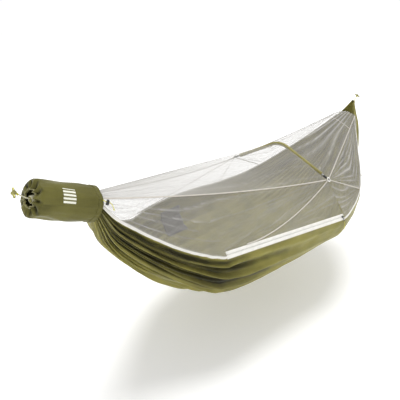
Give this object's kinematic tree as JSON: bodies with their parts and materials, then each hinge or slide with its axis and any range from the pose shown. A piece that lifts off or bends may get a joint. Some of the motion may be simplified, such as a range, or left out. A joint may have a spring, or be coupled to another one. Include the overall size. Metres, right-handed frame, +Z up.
{
  "type": "camping hammock",
  "caption": "Gathered-end camping hammock with a zipped insect net, a bent spreader pole, toggles on short cords and a stuff sack over one end.",
  "frame": {"origin": "middle of the straight line between the two gathered ends", "axes": "+X from the stuff-sack end to the head end, +Z up, -Y towards the zipped side"},
  "size_m": [2.4436, 0.8361, 0.7325],
  "materials": {
    "body_fabric": "satin ripstop nylon",
    "net_mesh": "fine no-see-um mesh",
    "white_tape": "woven tape",
    "zipper_plastic": "moulded coil",
    "dark_metal": "semi-gloss",
    "yellow_cord": "braided cord",
    "white_cord": "braided cord",
    "toggle_alloy": "anodised olive",
    "pole_alloy": "anodised",
    "black_plastic": "matte",
    "sleeve_fabric": "plain weave",
    "pocket_fabric": "ripstop nylon",
    "sack_fabric": "satin ripstop nylon",
    "label_fabric": "woven patch",
    "spring_steel": "wire"
  },
  "bodies": {
    "hammock": {"body_centre_panel": "body_fabric", "body_near_panel": "body_fabric", "body_far_panel": "body_fabric", "left_gather": "body_fabric", "right_gather": "body_fabric", "net_top_foot": "net_mesh", "net_top_head": "net_mesh", "net_near_foot": "net_mesh", "net_near_head": "net_mesh", "net_near_gusset": "net_mesh", "net_far_foot": "net_mesh", "net_far_middle": "net_mesh", "net_far_head": "net_mesh", "near_rim_binding": "white_tape", "far_rim_binding": "white_tape", "net_near_seam_tapes": "white_tape", "net_far_seam_tapes": "white_tape", "corner_tabs": "white_tape", "zipper_lower_tape": "white_tape", "rim_loop": "white_tape", "zipper_lower_coil": "zipper_plastic", "zipper_stops": "zipper_plastic", "corner_eyelets": "dark_metal", "left_knot": "yellow_cord", "right_knot": "yellow_cord", "right_suspension_cord": "yellow_cord", "left_suspension_cord": "white_cord", "left_whipping": "white_cord", "right_whipping": "white_cord", "pole_elbow": "pole_alloy", "pole_near_arm": "pole_alloy", "pole_far_arm": "pole_alloy", "pole_ferrules": "pole_alloy", "pole_tips": "black_plastic", "pole_sleeve": "sleeve_fabric", "storage_pocket": "pocket_fabric"},
    "net_door": {"net_door": "net_mesh", "door_seam_tape": "white_tape", "zipper_upper_tape": "white_tape", "zipper_upper_coil": "zipper_plastic"},
    "zip_slider": {"zipper_slider": "dark_metal", "slider_bails": "dark_metal"},
    "outer_pull": {"zipper_outer_pull": "dark_metal", "outer_pull_cord": "yellow_cord", "outer_pull_knot": "yellow_cord"},
    "inner_pull": {"zipper_inner_pull": "dark_metal", "inner_pull_cord": "yellow_cord", "inner_pull_knot": "yellow_cord"},
    "left_toggle": {"left_toggle": "toggle_alloy"},
    "right_toggle": {"right_toggle": "toggle_alloy"},
    "sack": {"sack_tube": "sack_fabric", "sack_open_hem": "sack_fabric", "sack_pucker": "sack_fabric", "sack_pucker_hem": "sack_fabric", "sack_label": "label_fabric", "sack_drawcord": "yellow_cord", "sack_drawcord_knot": "yellow_cord", "cord_lock_barrel": "black_plastic", "cord_lock_spring": "spring_steel"},
    "lock_button": {"cord_lock_button": "black_plastic"}
  },
  "joints": [
    {"name": "net_door_swing", "type": "hinge", "parent": "hammock", "child": "net_door", "pos_m": [-0.54572, -0.26744, -0.34729], "axis": [-0.992, 0.0381, -0.12], "range_deg": [0, 110]},
    {"name": "zipper_slide", "type": "slide", "parent": "hammock", "child": "zip_slider", "axis": [-0.9845, 0.1575, 0.0775], "range_m": [0, 0.78]},
    {"name": "outer_pull_swing", "type": "hinge", "parent": "zip_slider", "child": "outer_pull", "pos_m": [0.23721, -0.40501, -0.42047], "axis": [-0.9845, 0.1575, 0.0775], "range_deg": [0, 120]},
    {"name": "inner_pull_swing", "type": "hinge", "parent": "zip_slider", "child": "inner_pull", "pos_m": [0.23807, -0.39736, -0.42513], "axis": [0.9845, -0.1575, -0.0775], "range_deg": [0, 80]},
    {"name": "left_toggle_tilt", "type": "hinge", "parent": "hammock", "child": "left_toggle", "pos_m": [-1.21032, 0, 0.02268], "axis": [0.4545, -0.6421, 0.6173], "range_deg": [-40, 40]},
    {"name": "right_toggle_tilt", "type": "hinge", "parent": "hammock", "child": "right_toggle", "pos_m": [1.21432, 0, 0.03268], "axis": [0.4186, 0.6428, -0.6416], "range_deg": [-40, 40]},
    {"name": "sack_slide", "type": "slide", "parent": "hammock", "child": "sack", "axis": [-0.8387, 0, 0.5446], "range_m": [0, 0.12]},
    {"name": "cord_lock_press", "type": "slide", "parent": "sack", "child": "lock_button", "axis": [-0.2231, 0.0893, -0.9707], "range_m": [0, 0.0025], "stiffness_N_per_m": 300, "springref_m": -0.002, "deforming": ["cord_lock_spring"]}
  ]
}
